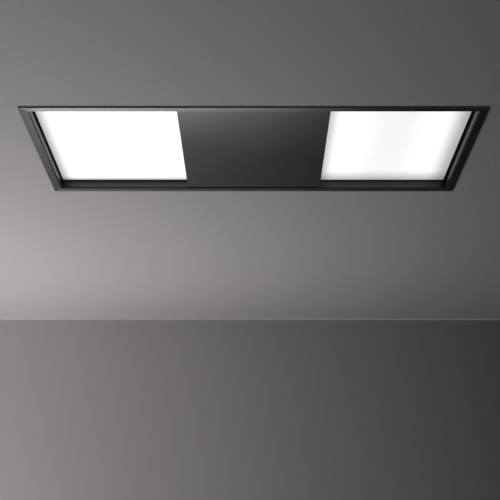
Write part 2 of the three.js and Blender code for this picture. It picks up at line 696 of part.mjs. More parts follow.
function addOutlet() {
  const { radius, sheet, inner, outer, flangeRadius, flangeThick } = collar;
  const flangeY = box.halfY + gap;
  const tube = ductRing([
    [radius - sheet, inner], [radius, inner], [radius, flangeY], [flangeRadius, flangeY],
    [flangeRadius, flangeY + flangeThick], [radius, flangeY + flangeThick], [radius, outer],
    [radius - sheet, outer], [radius - sheet, inner],
  ], facets.duct);
  add('duct_collar', tube, galvanised);
  const pinHalf = radius - sheet - gap;
  const round = outline(circle(damper.pinRadius, facets.pin, collar.x, damper.y));
  add('damper_pin', extrude(round, collar.z - pinHalf, collar.z + pinHalf), brightSteel);
  for (const { word, side } of sides) {
    add(`damper_flap_${word}`, damperFlap(side), aluminium);
  }
}

// ---- electrics ----

function addElectrics() {
  add('control_box', block(controlBox.x, controlBox.y, controlBox.z), greyPlastic);
  add('lamp_driver', block(lampDriver.x, lampDriver.y, lampDriver.z), greyPlastic);
  add('terminal_box', block(terminalBox.x, terminalBox.y, terminalBox.z), darkPlastic);
  const wallX = box.halfX;
  const inside = wallX - box.sheet - gland.inside;
  const round = (radius, count) => circle(radius, count, gland.y, gland.z);
  const body = extrudeX(round(gland.radius, facets.round), inside, wallX + gland.outside);
  const nutX = [wallX + gap, wallX + gap + gland.nutThick];
  const nut = extrudeX(round(gland.nutRadius, facets.nut), ...nutX);
  const boreX = [inside - through, wallX + gland.outside + through];
  const bore = extrudeX(round(gland.bore, facets.round), ...boreX);
  add('cable_gland', cut(join(body, nut), bore), darkPlastic);
}

// ---- hangers ----

// A bracket whose slotted leg lies against the casing's end and whose foot takes a threaded rod.
function hangerBracket(sideX, sideY) {
  const face = wallOutX + gap;
  const y = sideY * hanger.y;
  const long = [y - hanger.halfLong, y + hanger.halfLong];
  const leg = block(sided(sideX, face, face + hanger.sheet), long, [hanger.bottom, hanger.top]);
  const foot = block(sided(sideX, face - hanger.foot, face + hanger.sheet), long,
    [hanger.top - hanger.sheet, hanger.top]);
  const slots = [-hanger.slotAcross, hanger.slotAcross].map((across) => block(
    sided(sideX, face - through, face + hanger.sheet + through),
    [y + across - hanger.slotHalf, y + across + hanger.slotHalf], [hanger.slotBottom, hanger.slotTop]));
  const holeX = sideX * (face - hanger.foot + hanger.holeFromEdge);
  const holeHeights = [hanger.top - hanger.sheet - through, hanger.top + through];
  const hole = extrude(outline(circle(hanger.holeRadius, facets.knuckle, holeX, y)), ...holeHeights);
  return cut(join(leg, foot), ...slots, hole);
}

function addHangers() {
  for (const { word: across, side: sideX } of sides) {
    for (const { word: along, side: sideY } of ends) {
      add(`hanger_${along}_${across}`, hangerBracket(sideX, sideY), galvanised);
    }
  }
}

addTrim();
addCasing();
addLights();
addCarrier();
addFilters();
addPanel();
addCatches();
addMotorBox();
addFan();
addOutlet();
addElectrics();
addHangers();

export default hood;
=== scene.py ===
import json
import math

import bmesh
import bpy
from mathutils import Matrix, Vector


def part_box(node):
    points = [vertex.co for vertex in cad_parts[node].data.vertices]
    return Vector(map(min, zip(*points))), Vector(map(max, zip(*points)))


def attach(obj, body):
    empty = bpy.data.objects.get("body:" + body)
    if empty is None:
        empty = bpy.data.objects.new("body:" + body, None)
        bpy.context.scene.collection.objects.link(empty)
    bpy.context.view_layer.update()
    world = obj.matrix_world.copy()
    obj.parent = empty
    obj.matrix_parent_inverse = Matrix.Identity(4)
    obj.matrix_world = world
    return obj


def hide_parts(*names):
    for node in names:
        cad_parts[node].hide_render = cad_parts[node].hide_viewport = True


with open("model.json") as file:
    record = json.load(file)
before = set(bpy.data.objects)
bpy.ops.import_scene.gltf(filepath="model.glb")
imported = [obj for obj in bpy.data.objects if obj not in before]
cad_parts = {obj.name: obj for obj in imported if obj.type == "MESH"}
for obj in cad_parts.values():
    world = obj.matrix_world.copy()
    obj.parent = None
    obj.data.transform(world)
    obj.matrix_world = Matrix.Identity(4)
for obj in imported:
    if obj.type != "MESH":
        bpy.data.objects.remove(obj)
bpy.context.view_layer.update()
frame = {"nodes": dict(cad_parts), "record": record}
scene = bpy.context.scene
mm = 0.001
nodes = frame["nodes"]
record = frame["record"]
bodyOf = {node: body for body, members in record["behaviour"]["bodies"].items() for node in members}
slotOf = {part["node"]: part["material_slot"] for part in record["subparts"]}
print("frame loaded:", len(nodes), "nodes")


camera = {"place": (0.0, -3.0806, -1.2775), "tilt": 107.835, "lens": 86.14, "sensor": 36.0, "shiftX": -0.0076}


def makeCamera():
    data = bpy.data.cameras.new("photoCamera")
    data.lens = camera["lens"]
    data.sensor_width = camera["sensor"]
    data.shift_x = camera["shiftX"]
    data.clip_end = 60
    eye = bpy.data.objects.new("photoCamera", data)
    eye.location = camera["place"]
    eye.rotation_euler = (math.radians(camera["tilt"]), 0, 0)
    scene.collection.objects.link(eye)
    scene.camera = eye


makeCamera()


class Value:  # one output socket, with arithmetic
    def __init__(self, shader, socket):
        self.shader = shader
        self.socket = socket

    def maths(self, operation, first, second=0.5):
        return self.shader.node("ShaderNodeMath", {"operation": operation}, {0: first, 1: second})

    def __add__(self, other):
        return self.maths("ADD", self, other)

    def __sub__(self, other):
        return self.maths("SUBTRACT", self, other)

    def __rsub__(self, other):
        return self.maths("SUBTRACT", other, self)

    def __mul__(self, other):
        return self.maths("MULTIPLY", self, other)

    __rmul__ = __mul__

    def power(self, exponent):
        return self.maths("POWER", self, exponent)

    def absolute(self):
        return self.maths("ABSOLUTE", self)


class Shader:
    def __init__(self, name):
        self.material = bpy.data.materials.new(name)
        self.material.use_nodes = True
        self.tree = self.material.node_tree
        self.tree.nodes.clear()

    def node(self, kind, settings=None, inputs=None, output=0):
        made = self.tree.nodes.new(kind)
        for key, value in (settings or {}).items():
            if key == "stops":
                self.setStops(made.color_ramp, value)
            else:
                setattr(made, key, value)
        for key, value in (inputs or {}).items():
            if isinstance(value, Value):
                self.tree.links.new(value.socket, made.inputs[key])
            else:
                made.inputs[key].default_value = value
        return Value(self, made.outputs[output]) if made.outputs else None

    def setStops(self, ramp, stops):
        while len(ramp.elements) < len(stops):
            ramp.elements.new(0.5)
        for element, (position, colour) in zip(ramp.elements, stops):
            element.position = position
            element.color = (*colour, 1)

    def where(self):
        return self.node("ShaderNodeTexCoord", output="Object")

    def axes(self):
        split = self.node("ShaderNodeSeparateXYZ", inputs={"Vector": self.where()})
        return [Value(self, split.socket.node.outputs[i]) for i in range(3)]

    def stretched(self, scale):
        return self.node("ShaderNodeMapping", inputs={"Vector": self.where(), "Scale": scale})

    def noise(self, scale, detail=3.0, roughness=0.55, vector=None):
        vector = vector or self.where()
        return self.node("ShaderNodeTexNoise", inputs={
            "Vector": vector, "Scale": scale, "Detail": detail, "Roughness": roughness})

    def spread(self, value, low, high, outLow, outHigh, kind="SMOOTHSTEP"):
        return self.node("ShaderNodeMapRange", {"interpolation_type": kind}, {
            "Value": value, "From Min": low, "From Max": high, "To Min": outLow, "To Max": outHigh})

    def mix(self, share, first, second):
        made = self.tree.nodes.new("ShaderNodeMix")
        made.data_type = "RGBA"
        for socket, value in ((made.inputs[0], share), (made.inputs[6], first), (made.inputs[7], second)):
            if isinstance(value, Value):
                self.tree.links.new(value.socket, socket)
            else:
                socket.default_value = value if isinstance(value, float) else (*value, 1)
        return Value(self, made.outputs[2])

    def bump(self, height, distance, strength=1.0):
        return self.node("ShaderNodeBump", inputs={
            "Height": height, "Distance": distance, "Strength": strength})

    def surface(self, inputs):
        shaded = self.node("ShaderNodeBsdfPrincipled", inputs=inputs)
        self.node("ShaderNodeOutputMaterial", inputs={"Surface": shaded})
        return self.material


def blackCoat(name, tone=0.014, gloss=0.20, shine=0.5):
    s = Shader(name)
    grain = s.noise(1500, 2)  # the orange-peel of a fine powder coat
    cloud = s.noise(7, 4)
    wiped = s.noise(4.5, 4)
    colour = s.mix(cloud, (tone * 0.88, tone * 0.78, tone * 0.87), (tone * 1.16, tone * 1.04, tone * 1.16))
    roughness = s.spread(wiped, 0.3, 0.7, gloss - 0.012, gloss + 0.012) + (grain - 0.5) * 0.02
    return s.surface({"Base Color": colour, "Roughness": roughness, "Specular IOR Level": shine,
                      "Specular Tint": (1.0, 0.90, 0.98, 1.0), "Normal": s.bump(grain, 0.00004, 0.35)})


def galvanised(name, tone=0.46):
    s = Shader(name)
    flake = s.node("ShaderNodeTexVoronoi", {"feature": "F1"}, {"Vector": s.where(), "Scale": 75.0}, "Color")
    split = s.node("ShaderNodeSeparateColor", inputs={"Color": flake})
    cloud = s.noise(9, 5)
    rolled = s.noise(1.0, 3, vector=s.stretched((6, 260, 260)))
    shade = s.spread(split * 0.6 + cloud * 0.4, 0.2, 0.8, 0.0, 1.0)
    colour = s.mix(shade, (tone * 0.84, tone * 0.87, tone * 0.9), (tone * 1.12, tone * 1.14, tone * 1.16))
    roughness = s.spread(split, 0.0, 1.0, 0.33, 0.47) + (rolled - 0.5) * 0.1
    return s.surface({"Base Color": colour, "Metallic": 0.85, "Roughness": roughness,
                      "Normal": s.bump(split * 0.5 + rolled * 0.5, 0.00005, 0.3)})


def brushedSteel(name):
    s = Shader(name)
    streak = s.noise(1.0, 4, vector=s.stretched((30, 1400, 1400)))
    cloud = s.noise(30, 3)
    colour = s.mix(streak, (0.50, 0.50, 0.51), (0.68, 0.68, 0.69))
    roughness = s.spread(streak, 0.2, 0.8, 0.22, 0.36) + (cloud - 0.5) * 0.08
    return s.surface({"Base Color": colour, "Metallic": 1.0, "Roughness": roughness,
                      "Normal": s.bump(streak, 0.00002, 0.3)})


def millAluminium(name):
    s = Shader(name)
    streak = s.noise(1.0, 4, vector=s.stretched((900, 40, 900)))
    cloud = s.noise(24, 4)
    colour = s.mix(cloud, (0.56, 0.57, 0.58), (0.72, 0.73, 0.74))
    roughness = s.spread(streak, 0.2, 0.8, 0.34, 0.46) + (cloud - 0.5) * 0.1
    return s.surface({"Base Color": colour, "Metallic": 0.9, "Roughness": roughness,
                      "Normal": s.bump(streak, 0.00003, 0.35)})


def mouldedPlastic(name, tone):
    s = Shader(name)
    spark = s.noise(2200, 1)  # spark-eroded mould texture
    cloud = s.noise(18, 3)
    colour = s.mix(cloud, tuple(0.9 * c for c in tone), tuple(1.1 * c for c in tone))
    roughness = s.spread(cloud, 0.3, 0.7, 0.44, 0.54) + (spark - 0.5) * 0.08
    return s.surface({"Base Color": colour, "Roughness": roughness, "Normal": s.bump(spark, 0.00005, 0.4)})


def motorPaint(name):
    s = Shader(name)
    cast = s.noise(420, 3)
    cloud = s.noise(16, 3)
    colour = s.mix(cloud, (0.040, 0.048, 0.057), (0.060, 0.070, 0.081))
    roughness = s.spread(cast, 0.3, 0.7, 0.42, 0.56)
    return s.surface({"Base Color": colour, "Metallic": 0.2, "Roughness": roughness,
                      "Normal": s.bump(cast, 0.00012, 0.5)})


def circuitBoard(name):
    s = Shader(name)
    fibre = s.noise(1.0, 2, vector=s.stretched((900, 900, 50)))
    cloud = s.noise(35, 2)
    colour = s.mix(cloud, (0.74, 0.76, 0.73), (0.86, 0.87, 0.85))
    roughness = s.spread(fibre, 0.3, 0.7, 0.45, 0.6)
    return s.surface({"Base Color": colour, "Roughness": roughness, "Normal": s.bump(fibre, 0.00003, 0.3)})


# The lit sheet is full white in the middle and falls off towards its edges, fitted to the photo.
# An edge has the width of its fall and the share of light left at the very rim; the lip is a thin dim border.
lightFall = {
    "left": {"left": (0.045, 0.38), "right": (0.014, 0.36), "far": (0.028, 0.42), "lip": 0.6, "dip": 0.0},
    "right": {"left": (0.044, 0.47), "right": (0.056, 0.34), "far": (0.085, 0.45), "lip": 1.0, "dip": 0.12},
    "near": (0.024, 0.42), "lipWide": 0.004, "skin": 0.0006, "side": 0.30, "strength": 0.88,
}


def opalSheet(name, side):
    s = Shader(name)
    fall = lightFall[side]
    low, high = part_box(f"diffuser_{side}")
    x, y, z = s.axes()
    skin = lightFall["skin"]
    facing = s.spread(z, low.z + skin, low.z + 2 * skin, 1.0, lightFall["side"])  # edges only glimmer
    lip = s.spread(x - low.x, 0.0, lightFall["lipWide"], fall["lip"], 1.0)
    fromLeft = s.spread(x - low.x, 0.0, *fall["left"], 1.0)
    fromRight = s.spread(high.x - x, 0.0, *fall["right"], 1.0)
    fromFar = s.spread(high.y - y, 0.0, *fall["far"], 1.0)
    fromNear = s.spread(y - low.y, 0.0, *lightFall["near"], 1.0)
    middle = s.spread((x - (low.x + high.x) / 2).absolute(), 0.02, 0.10, 1.0 - fall["dip"], 1.0)
    milk = s.noise(900, 2)
    glow = lip * fromLeft * fromRight * fromFar * fromNear * middle * facing * (1.0 - 0.01 * milk)
    colour = s.mix(glow, (0.0, 0.0, 0.0), (1.0, 0.975, 0.99))
    sheet = s.mix(milk, (0.40, 0.40, 0.395), (0.44, 0.44, 0.435))
    return s.surface({"Base Color": sheet, "Roughness": s.spread(milk, 0.3, 0.7, 0.32, 0.38),
                      "Emission Color": colour, "Emission Strength": lightFall["strength"]})


def plaster(name, low, high, spotScale):
    s = Shader(name)
    rolled = s.noise(spotScale, 3)
    cloud = s.noise(1.1, 2)
    colour = s.mix(cloud * 0.8 + rolled * 0.2, low, high)
    return s.surface({"Base Color": colour, "Roughness": 0.75, "Normal": s.bump(rolled, 0.0002, 0.15)})


finishes = {
    "black_coat": blackCoat("satinBlackCoat", 0.014, 0.19),
    "galvanised_steel": galvanised("galvanisedSheet"),
    "bright_steel": brushedSteel("brightSteel"),
    "aluminium": millAluminium("millAluminium"),
    "circuit_board": circuitBoard("ledBoardWhite"),
    "black_plastic": mouldedPlastic("blackPlastic", (0.016, 0.016, 0.018)),
    "grey_plastic": mouldedPlastic("greyPlastic", (0.26, 0.27, 0.28)),
    "motor_paint": motorPaint("motorPaint"),
}
# Lit and shaded copies of one black coat: the tone and shine of each piece of the frame are fitted to the
# photo's view and light as painted sheen and shade, and aren't known to differ.
sideCoat = blackCoat("satinBlackSides", 0.011, 0.24, 0.26)
wallCoat = blackCoat("satinBlackWalls", 0.013, 0.27, 1.0)
endCoat = blackCoat("satinBlackEnds", 0.013, 0.20, 1.0)
innerShadeCoat = blackCoat("paintedShadeInnerFaces", 0.012, 0.40, 0.32)  # painted shade: a darker, duller copy of the coat on the rails' inner faces, fitted too
frameCoats = {
    "trim_rail_near": endCoat, "trim_rail_far": endCoat,
    "trim_rail_left": sideCoat, "trim_rail_right": sideCoat,
    "casing_wall_left": wallCoat, "casing_wall_right": wallCoat,
}
opal = {side: opalSheet(f"opalSheet_{side}", side) for side in ("left", "right")}
print("materials ready")


def boxOf(node):
    low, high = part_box(node)
    return Vector(low) / mm, Vector(high) / mm


def finished(name, mesh, body, slotName, material, *replaced):
    mesh.materials.clear()
    mesh.materials.append(material)
    piece = bpy.data.objects.new(name, mesh)
    scene.collection.objects.link(piece)
    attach(piece, body)
    if replaced:
        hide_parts(*replaced)
    return piece


def baked(source, edit):
    # applies the modifiers that edit adds, and leaves a plain mesh
    holder = bpy.data.objects.new("holder", source)
    scene.collection.objects.link(holder)
    edit(holder)
    shaped = bpy.data.meshes.new_from_object(holder.evaluated_get(bpy.context.evaluated_depsgraph_get()))
    bpy.data.objects.remove(holder)
    return shaped


def addBevel(holder, width):
    bevel = holder.modifiers.new("softEdges", "BEVEL")
    bevel.width = width * mm
    bevel.segments = 3
    bevel.limit_method = "ANGLE"
    bevel.angle_limit = math.radians(35)
    bevel.use_clamp_overlap = True


def addEvenNormals(holder, keepSharp=False):
    # the wide faces lead, so the flats stay flat in the shading
    even = holder.modifiers.new("evenNormals", "WEIGHTED_NORMAL")
    even.weight = 100
    even.keep_sharp = keepSharp


def shadeRound(mesh, angle=40):
    mesh.polygons.foreach_set("use_smooth", [True] * len(mesh.polygons))
    mesh.set_sharp_from_angle(angle=math.radians(angle))
    return baked(mesh, lambda holder: addEvenNormals(holder, True))


def brokenEdges(source, width):
    # sharp edges get a small radius, given in millimetres
    source.polygons.foreach_set("use_smooth", [True] * len(source.polygons))

    def edit(holder):
        addBevel(holder, width)
        addEvenNormals(holder)
    return baked(source, edit)


def cleanCopy(node, joinFlats=True):
    mesh = nodes[node].data.copy()
    work = bmesh.new()
    work.from_mesh(mesh)
    bmesh.ops.remove_doubles(work, verts=work.verts, dist=2e-6)
    if joinFlats:
        bmesh.ops.dissolve_limit(work, angle_limit=math.radians(0.5), verts=work.verts, edges=work.edges)
    work.to_mesh(mesh)
    work.free()
    return mesh


def softened(node, width):
    # the node's own shape with its sharp edges broken, in its finish
    mesh = brokenEdges(cleanCopy(node, not node.startswith("filter_frame")), width)
    if node.startswith("diffuser"):
        material = opal[node.split("_")[-1]]
    else:
        material = frameCoats.get(node) or finishes[slotOf[node]]
    piece = finished(f"{node}_finished", mesh, bodyOf[node], slotOf[node], material, node)
    # painted shade: a rail's inner faces take a darker, duller copy of its coat
    if node.startswith("trim_rail"):
        paintInnerShade(piece.data)


def paintInnerShade(mesh):
    # painted shade on the upright faces of a rail that look towards the middle of the hood
    mesh.materials.append(innerShadeCoat)
    for face in mesh.polygons:
        inward = -(face.normal.x * face.center.x + face.normal.y * face.center.y)
        if inward > 0.2 and abs(face.normal.z) < 0.3:
            face.material_index = 1


def meshFrom(name, build):
    # build works in millimetres
    work = bmesh.new()
    build(work)
    bmesh.ops.remove_doubles(work, verts=work.verts, dist=1e-4)
    bmesh.ops.recalc_face_normals(work, faces=work.faces)
    bmesh.ops.scale(work, vec=(mm, mm, mm), verts=work.verts)
    mesh = bpy.data.meshes.new(name)
    work.to_mesh(mesh)
    work.free()
    return mesh


def addBlock(work, low, high):
    made = bmesh.ops.create_cube(work, size=1.0)["verts"]
    size = Vector(high) - Vector(low)
    middle = (Vector(high) + Vector(low)) / 2
    bmesh.ops.scale(work, vec=size, verts=made)
    bmesh.ops.translate(work, vec=middle, verts=made)
    return made


# The profile is a list of [radius, height]; place puts a point of a ring into the piece's own axes.
def addTurned(work, profile, steps, place, closed=True):
    rings = []
    for i in range(steps):
        angle = 2 * math.pi * i / steps
        rings.append([work.verts.new(place(r * math.cos(angle), r * math.sin(angle), h)) for r, h in profile])
    count = len(profile)
    for i in range(steps):
        here, there = rings[i], rings[(i + 1) % steps]
        for j in range(count if closed else count - 1):
            k = (j + 1) % count
            work.faces.new((here[j], there[j], there[k], here[k]))


def alongX(x, y, z):
    return lambda a, b, h: (x + h, y + a, z + b)


def alongY(x, y, z):
    return lambda a, b, h: (x + b, y + h, z + a)


def alongZ(x, y, z):
    return lambda a, b, h: (x + a, y + b, z + h)


def arcOf(centre, radius, start, end, steps):
    # points on an arc, angles in degrees
    angles = [math.radians(start + (end - start) * i / steps) for i in range(steps + 1)]
    return [(centre[0] + radius * math.cos(a), centre[1] + radius * math.sin(a)) for a in angles]


def roundedLoop(low, high, inset, corner, cornerSteps=5):
    # a rectangle with round corners, seen from above and drawn in by inset
    left, near, right, far = low[0] + inset, low[1] + inset, high[0] - inset, high[1] - inset
    r = max(corner - inset, 0.05)
    centres = ((right - r, far - r), (left + r, far - r), (left + r, near + r), (right - r, near + r))
    return [point for i, centre in enumerate(centres)
            for point in arcOf(centre, r, 90 * i, 90 * (i + 1), cornerSteps)]


# Rings of rounded rectangles, each drawn in by its inset, joined in order and capped at both ends.
def addLofted(work, low, high, profile, corner):
    rings = [[work.verts.new((x, y, z)) for x, y in roundedLoop(low, high, inset, corner)]
             for inset, z in profile]
    for here, there in zip(rings, rings[1:]):
        for i in range(len(here)):
            k = (i + 1) % len(here)
            work.faces.new((here[i], here[k], there[k], there[i]))
    work.faces.new(rings[0])
    work.faces.new(rings[-1])


def groupTree(name, inputs):
    tree = bpy.data.node_groups.new(name, "GeometryNodeTree")
    tree.interface.new_socket(name="Geometry", in_out="INPUT", socket_type="NodeSocketGeometry")
    keys = {}
    for label, kind in inputs.items():
        keys[label] = tree.interface.new_socket(name=label, in_out="INPUT", socket_type=kind).identifier
    tree.interface.new_socket(name="Geometry", in_out="OUTPUT", socket_type="NodeSocketGeometry")
    return tree, keys


def addNode(tree, kind, settings=None, inputs=None):
    made = tree.nodes.new(kind)
    for key, value in (settings or {}).items():
        setattr(made, key, value)
    for key, value in (inputs or {}).items():
        if isinstance(value, bpy.types.NodeSocket):
            tree.links.new(value, made.inputs[key])
        else:
            made.inputs[key].default_value = value
    return made


def fastenerTree():
    tree, keys = groupTree("fastenerRows", {
        "Head": "NodeSocketObject", "Head Scale": "NodeSocketFloat", "Finish": "NodeSocketMaterial"})
    given = tree.nodes.new("NodeGroupInput").outputs
    head = addNode(tree, "GeometryNodeObjectInfo", inputs={"Object": given["Head"]})
    facing = addNode(tree, "GeometryNodeInputNamedAttribute", {"data_type": "FLOAT_VECTOR"},
                     {"Name": "facing"})
    aligned = addNode(tree, "FunctionNodeAlignRotationToVector", {"axis": "Z"},
                      {"Vector": facing.outputs["Attribute"]})
    driven = addNode(tree, "FunctionNodeRandomValue", {"data_type": "FLOAT"})
    driven.inputs[3].default_value = math.pi  # a screw stops at any angle
    driven.inputs["Seed"].default_value = 7
    twist = addNode(tree, "ShaderNodeCombineXYZ", inputs={"Z": driven.outputs[1]})
    turned = addNode(tree, "FunctionNodeRotateRotation", {"rotation_space": "LOCAL"},
                     {"Rotation": aligned.outputs[0], "Rotate By": twist.outputs[0]})
    spots = addNode(tree, "GeometryNodeInstanceOnPoints", inputs={
        "Points": given["Geometry"], "Instance": head.outputs["Geometry"],
        "Rotation": turned.outputs[0], "Scale": given["Head Scale"]})
    real = addNode(tree, "GeometryNodeRealizeInstances", inputs={"Geometry": spots.outputs[0]})
    painted = addNode(tree, "GeometryNodeSetMaterial", inputs={
        "Geometry": real.outputs[0], "Material": given["Finish"]})
    addNode(tree, "NodeGroupOutput", inputs={"Geometry": painted.outputs[0]})
    return tree, keys


def netTree():
    tree, keys = groupTree("strandNet", {
        "Columns": "NodeSocketInt", "Rows": "NodeSocketInt", "Width": "NodeSocketFloat",
        "Depth": "NodeSocketFloat", "Strand": "NodeSocketObject", "Finish": "NodeSocketMaterial"})
    given = tree.nodes.new("NodeGroupInput").outputs
    grid = addNode(tree, "GeometryNodeMeshGrid", inputs={
        "Size X": given["Width"], "Size Y": given["Depth"], "Vertices X": given["Columns"],
        "Vertices Y": given["Rows"]})
    strand = addNode(tree, "GeometryNodeObjectInfo", inputs={"Object": given["Strand"]})
    spots = addNode(tree, "GeometryNodeInstanceOnPoints", inputs={
        "Points": grid.outputs["Mesh"], "Instance": strand.outputs["Geometry"]})
    real = addNode(tree, "GeometryNodeRealizeInstances", inputs={"Geometry": spots.outputs[0]})
    painted = addNode(tree, "GeometryNodeSetMaterial", inputs={
        "Geometry": real.outputs[0], "Material": given["Finish"]})
    addNode(tree, "NodeGroupOutput", inputs={"Geometry": painted.outputs[0]})
    return tree, keys


def ringTree():
    tree, keys = groupTree("ringOfFins", {
        "Count": "NodeSocketInt", "Radius": "NodeSocketFloat", "Fin": "NodeSocketObject",
        "Finish": "NodeSocketMaterial"})
    given = tree.nodes.new("NodeGroupInput").outputs
    circle = addNode(tree, "GeometryNodeMeshCircle", inputs={
        "Vertices": given["Count"], "Radius": given["Radius"]})
    fin = addNode(tree, "GeometryNodeObjectInfo", inputs={"Object": given["Fin"]})
    outward = addNode(tree, "GeometryNodeInputPosition")
    aligned = addNode(tree, "FunctionNodeAlignRotationToVector", {"axis": "X", "pivot_axis": "Z"},
                      {"Vector": outward.outputs[0]})
    spots = addNode(tree, "GeometryNodeInstanceOnPoints", inputs={
        "Points": circle.outputs["Mesh"], "Instance": fin.outputs["Geometry"],
        "Rotation": aligned.outputs[0]})
    real = addNode(tree, "GeometryNodeRealizeInstances", inputs={"Geometry": spots.outputs[0]})
    painted = addNode(tree, "GeometryNodeSetMaterial", inputs={
        "Geometry": real.outputs[0], "Material": given["Finish"]})
    addNode(tree, "NodeGroupOutput", inputs={"Geometry": painted.outputs[0]})
    return tree, keys


def grown(name, source, treeAndKeys, values):
    # runs one tree on a mesh and returns the result as a plain mesh
    tree, keys = treeAndKeys

    def edit(holder):
        modifier = holder.modifiers.new(tree.name, "NODES")
        modifier.node_group = tree
        for label, value in values.items():
            modifier[keys[label]] = value
        holder.update_tag()
    mesh = baked(source, edit)
    mesh.name = name
    return mesh


templates = []  # small shapes that the trees repeat, taken out of the scene at the end


def template(name, mesh):
    shape = bpy.data.objects.new(name, mesh)
    scene.collection.objects.link(shape)
    templates.append(shape)
    return shape


fasteners = fastenerTree()
net = netTree()
finRing = ringTree()


screw = {"head": 3.6, "high": 1.5, "flange": 4.6, "flangeHigh": 0.5, "recess": 0.9, "cross": 1.9, "steps": 16}
rivet = {"head": 2.6, "high": 1.0, "steps": 12, "eye": 0.9}


def screwHead():
    def build(work):
        flange, head, high = screw["flange"], screw["head"], screw["high"]
        ledge, cross, deep = screw["flangeHigh"], screw["cross"], high - screw["recess"]
        profile = [(0, 0.02), (flange, 0.02), (flange, ledge * 0.6), (flange - 0.3, ledge), (head, ledge),
                   (head * 0.93, high * 0.72), (head * 0.75, high * 0.94), (cross, high),
                   (cross * 0.55, deep), (0, deep)]
        addTurned(work, profile, screw["steps"], alongZ(0, 0, 0), closed=False)
        arms = [v for v in work.verts if v.co.z > high * 0.97]
        for i, vert in enumerate(sorted(arms, key=lambda v: math.atan2(v.co.y, v.co.x))):
            if i % 4 == 2:  # drawn in between the four arms of the cross recess
                vert.co.x *= 0.62
                vert.co.y *= 0.62
    return template("screwHead", meshFrom("screwHead", build))


def rivetHead():
    def build(work):
        head, high, eye = rivet["head"], rivet["high"], rivet["eye"]
        profile = [(0, 0.02), (head, 0.02), (head * 0.95, high * 0.45), (head * 0.72, high * 0.85),
                   (eye * 1.3, high), (eye, high * 0.9), (eye, high * 0.45), (0, high * 0.45)]
        addTurned(work, profile, rivet["steps"], alongZ(0, 0, 0), closed=False)
    return template("rivetHead", meshFrom("rivetHead", build))


def placeFasteners(name, spots, head, scale, body, slotName="bright_steel"):
    mesh = bpy.data.meshes.new(name)
    mesh.from_pydata([[c * mm for c in point] for point, _ in spots], [], [])
    facing = mesh.attributes.new("facing", "FLOAT_VECTOR", "POINT")
    facing.data.foreach_set("vector", [c for _, direction in spots for c in direction])
    material = finishes[slotName]
    made = grown(name, mesh, fasteners, {"Head": head, "Head Scale": scale, "Finish": material})
    made = shadeRound(made)
    finished(name, made, body, slotName, material)


# Bent and pressed sheet parts keep their own shape; their edges get the small radius that the tool leaves.
edgeWidths = {
    "trim_rail": 0.6, "casing_wall": 0.55, "casing_top": 0.4, "partition": 0.3, "diffuser": 0.8,
    "lamp_tray": 0.35, "led_board": 0.15,
    "filter_carrier": 0.4, "filter_frame": 0.45, "filter_latch": 0.7, "filter_mesh": 0.0,
    "panel_brace": 0.5, "hinge_leaf": 0.3, "hinge_arm": 0.3, "catch_body": 0.8, "box_wall": 0.3,
    "scroll_wall": 0.3, "scroll_lid": 0.3, "inlet_ring": 0.4, "impeller": 0.15, "damper_flap": 0.3,
    "hanger": 0.6,
}


def finishSheetParts():
    for node in sorted(nodes):
        width = next((w for start, w in edgeWidths.items() if node.startswith(start)), None)
        if width:
            softened(node, width)
        elif width == 0.0:
            nodes[node].data.materials.clear()
            nodes[node].data.materials.append(finishes[slotOf[node]])


finishSheetParts()
print("sheet parts finished")


pan = {"sheet": 1.5, "bend": 2.0, "corner": 1.2, "rimChamfer": 0.3, "steps": 4}


def panProfile(bottom, top):
    # a folded pan, open upwards: outer skin, over the rim's top edge, inner skin
    sheet, bend, chamfer, steps = (pan[key] for key in ("sheet", "bend", "rimChamfer", "steps"))
    outer = [(bend + x, bottom + bend + z) for x, z in arcOf((0, 0), bend, 270, 180, steps)]
    inner = [(bend + x, bottom + bend + z) for x, z in arcOf((0, 0), bend - sheet, 180, 270, steps)]
    rim = [(0.0, top - chamfer), (chamfer, top), (sheet - chamfer, top), (sheet, top - chamfer)]
    return outer + rim + inner


def makeAccessPanel():
    low, high = boxOf("access_panel")

    def build(work):
        addLofted(work, low, high, panProfile(low.z, high.z), pan["corner"])
    mesh = meshFrom("access_panel_finished", build)
    mesh = shadeRound(mesh)
    finished("access_panel_finished", mesh, bodyOf["access_panel"], "black_coat", finishes["black_coat"],
             "access_panel")


makeAccessPanel()


lid = {
    "bend": 2.2, "bendSteps": 4, "corner": 1.6, "sheet": 1.2, "lipChamfer": 0.3,
    "step": 26.0, "slope": 7.0, "drop": 4.0, "fieldInset": 120.0,
}


def makeBoxLid():
    low, high = boxOf("box_lid")
    top, bend, sheet, chamfer, steps = high.z, lid["bend"], lid["sheet"], lid["lipChamfer"], lid["bendSteps"]
    step, slope, drop, field = lid["step"], lid["slope"], lid["drop"], lid["fieldInset"]
    # pressed field: a band round the rim, one step down, then the middle back up to the rim's height
    pressed = [(step, 0), (step + slope, -drop), (field, -drop), (field + slope, 0)]
    outer = [(inset, top + z) for inset, z in reversed(pressed)]
    outer += [(bend + x, top - bend + z) for x, z in arcOf((0, 0), bend, 90, 180, steps)]
    lip = [(0.0, low.z + chamfer), (chamfer, low.z), (sheet - chamfer, low.z), (sheet, low.z + chamfer)]
    inner = [(bend + x, top - bend + z) for x, z in arcOf((0, 0), bend - sheet, 180, 90, steps)]
    inner += [(inset, top - sheet + z) for inset, z in pressed]

    def build(work):
        addLofted(work, low, high, outer + lip + inner, lid["corner"])
    mesh = meshFrom("box_lid_finished", build)
    mesh = shadeRound(mesh)
    finished("box_lid_finished", mesh, "housing", "galvanised_steel", finishes["galvanised_steel"],
             "box_lid")


makeBoxLid()


collar = {
    "radius": 75.0, "flange": 84.0, "sheet": 1.2, "bend": 1.6, "bendSteps": 4, "edge": 0.4, "clear": 0.3,
    "beadAt": 14.0, "beadHalf": 3.0, "bead": 1.3, "beadFoot": 1.5, "beadSteps": 6, "steps": 96,
}


